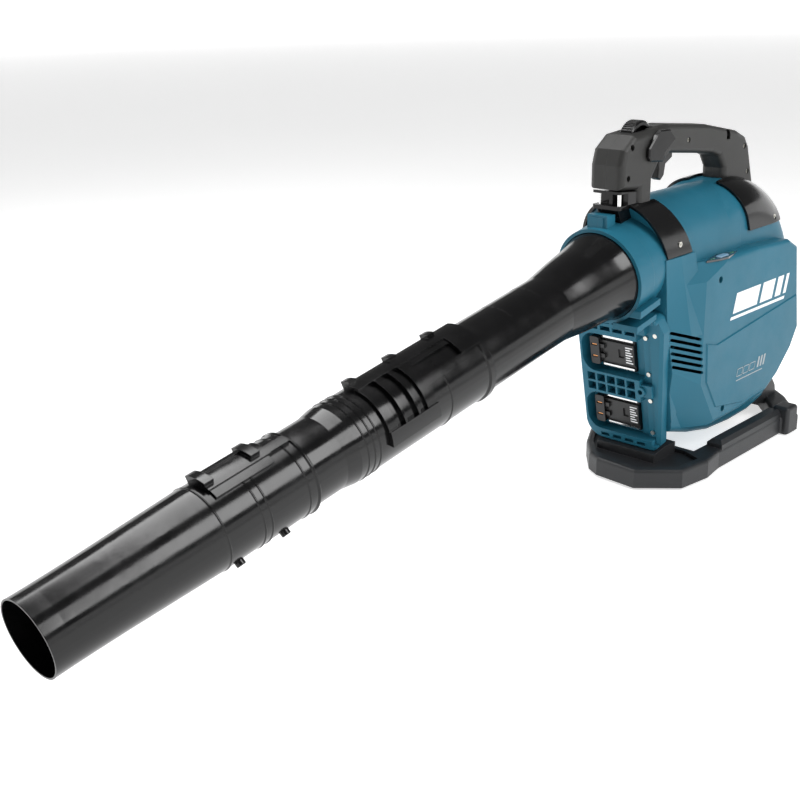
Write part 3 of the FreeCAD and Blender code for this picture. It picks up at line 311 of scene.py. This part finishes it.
def panel_plate():
    """The small mark low on the panel: three boxes and three slanted bars over one line."""
    plate = []
    for column in range(3):
        box_y = 214 + 17 * column
        plate += frame_bars(LOWER_PANEL_X, box_y, box_y + 15, 112, 123)
    plate.append(slanted_bar(LOWER_PANEL_X, 214, 286, 106, 107.4, 0.4))
    for column in range(3):
        bar_y = 270 + 8 * column
        plate.append(slanted_bar(LOWER_PANEL_X, bar_y, bar_y + 4.5, 112, 127, 4.0))
    return plate


def carrier_label(bay_foot):
    """Seven plain bars of three lengths on a terminal carrier."""
    depth, left, thick, pitch = 10.0, 5.0, 1.6, 3.6
    lines = []
    for row in range(7):
        end = 16.0 - 2.0 * (row % 3)
        height = bay_foot + 16 + pitch * row
        corners = ((left, height), (end, height), (end, height + thick), (left, height + thick))
        lines.append([from_bay(x, depth, h) for x, h in corners])
    return lines


def make_prints():
    outward, bay_outward = (1, 0, 0), (0, -1, -0.19)
    thin_print("panel_stripes", panel_stripes(), outward, PRINT_WHITE)
    thin_print("panel_plate_lines", panel_plate(), outward, PRINT_GREY)
    for name, bay_foot in (("upper", 103.0), ("lower", 15.0)):
        label = carrier_label(bay_foot)
        thin_print(f"{name}_carrier_label", label, bay_outward, PRINT_WHITE)


def make_lamps():
    """Four charge lamps in the lens beside the check button."""
    glow = moulded("lamp_green", (0.10, 0.42, 0.12), 0.15, coat=1.0, wear=0.0)
    for index, y in enumerate((151, 157, 199, 205)):
        bpy.ops.mesh.primitive_uv_sphere_add(segments=24, ring_count=12, radius=LAMP_RADIUS,
                                             location=from_design(69, y, 285.1))
        lamp = bpy.context.object
        lamp.name = f"charge_lamp_{index}"
        lamp.data.materials.append(glow)
        for polygon in lamp.data.polygons:
            polygon.use_smooth = True
        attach(lamp, "machine")


def make_dust_screen():
    """A woven wire screen just inside the air inlet, behind the grille."""
    reach, pitch, wire, weave, shortest = 0.047, 0.0047, 0.0006, 0.0006, 0.004
    centre = from_design(*INLET_SCREEN_AT)
    work = bmesh.new()
    for upright in (False, True):
        for index in range(-10, 11):
            offset = index * pitch
            half_length = math.sqrt(max(reach ** 2 - offset ** 2, 0.0))
            if half_length < shortest:
                continue
            if upright:
                size, place = (wire, wire, 2 * half_length), (weave, offset, 0)
            else:
                size, place = (wire, 2 * half_length, wire), (0, 0, offset)
            matrix = Matrix.Translation(centre + Vector(place)) @ Matrix.Diagonal((*size, 1))
            bmesh.ops.create_cube(work, size=1.0, matrix=matrix)
    mesh = bpy.data.meshes.new("dust_screen")
    work.to_mesh(mesh)
    work.free()
    screen = bpy.data.objects.new("dust_screen", mesh)
    bpy.context.scene.collection.objects.link(screen)
    mesh.materials.append(MATERIALS["core_steel"])
    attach(screen, "machine")


make_prints()
make_lamps()
make_dust_screen()


# ------------------------------------------------------------------ stage and light
FLOOR_SIZE = 60
WALL_RADIUS, WALL_HEIGHT, WALL_MIDDLE = 14.0, 3.0, 1.4
LIGHT_TARGET = (0, 0.1, 0.2)
WORLD_STRENGTH = 0.14


def make_floor():
    material, tree, shader = new_material("floor_paint")
    tone = ramp(tree, noise(tree, 2.0), 0.3, 0.7, 0.0, 1.0)
    pale = mix_colour(tree, tone, (0.74, 0.74, 0.74), (0.78, 0.78, 0.78))
    tree.links.new(pale, shader.inputs["Base Color"])
    shader.inputs["Roughness"].default_value = 0.7
    shader.inputs["Specular IOR Level"].default_value = 0.2
    shader.inputs["Emission Color"].default_value = (1, 1, 1, 1)
    shader.inputs["Emission Strength"].default_value = 0.62
    bpy.ops.mesh.primitive_plane_add(size=FLOOR_SIZE)
    floor = bpy.context.object
    floor.name = "floor"
    floor.data.materials.append(material)


def make_backdrop():
    """A low white wall all round, far away, which hides the horizon."""
    material, tree, shader = new_material("backdrop_paint")
    tone = ramp(tree, noise(tree, 0.5), 0.3, 0.7, 0.0, 1.0)
    white = mix_colour(tree, tone, (0.97, 0.97, 0.97), (1.0, 1.0, 1.0))
    tree.links.new(white, shader.inputs["Emission Color"])
    shader.inputs["Emission Strength"].default_value = 0.9
    shader.inputs["Roughness"].default_value = 0.8
    bpy.ops.mesh.primitive_cylinder_add(vertices=96, radius=WALL_RADIUS, depth=WALL_HEIGHT,
                                        end_fill_type="NOTHING", location=(0, 0, WALL_MIDDLE))
    wall = bpy.context.object
    wall.name = "backdrop"
    wall.data.materials.append(material)


def make_world():
    world = bpy.data.worlds.new("world")
    bpy.context.scene.world = world
    world.use_nodes = True
    background = world.node_tree.nodes["Background"]
    background.inputs["Color"].default_value = (1, 1, 1, 1)
    background.inputs["Strength"].default_value = WORLD_STRENGTH


def area_light(name, at, width, height, power):
    data = bpy.data.lights.new(name, "AREA")
    data.shape = "RECTANGLE"
    data.size = width
    data.size_y = height
    data.energy = power
    light = bpy.data.objects.new(name, data)
    bpy.context.scene.collection.objects.link(light)
    light.location = at
    light.rotation_euler = (Vector(LIGHT_TARGET) - Vector(at)).to_track_quat("-Z", "Y").to_euler()


def make_light():
    make_world()
    area_light("key", (1.9, 0.5, 1.7), 1.3, 1.3, 40)
    area_light("top", (-0.6, 0.1, 2.2), 0.7, 2.6, 36)
    area_light("edge", (-1.9, -0.6, 1.0), 0.5, 2.2, 16)


make_floor()
make_backdrop()
make_light()
bpy.context.scene.view_settings.view_transform = "Standard"
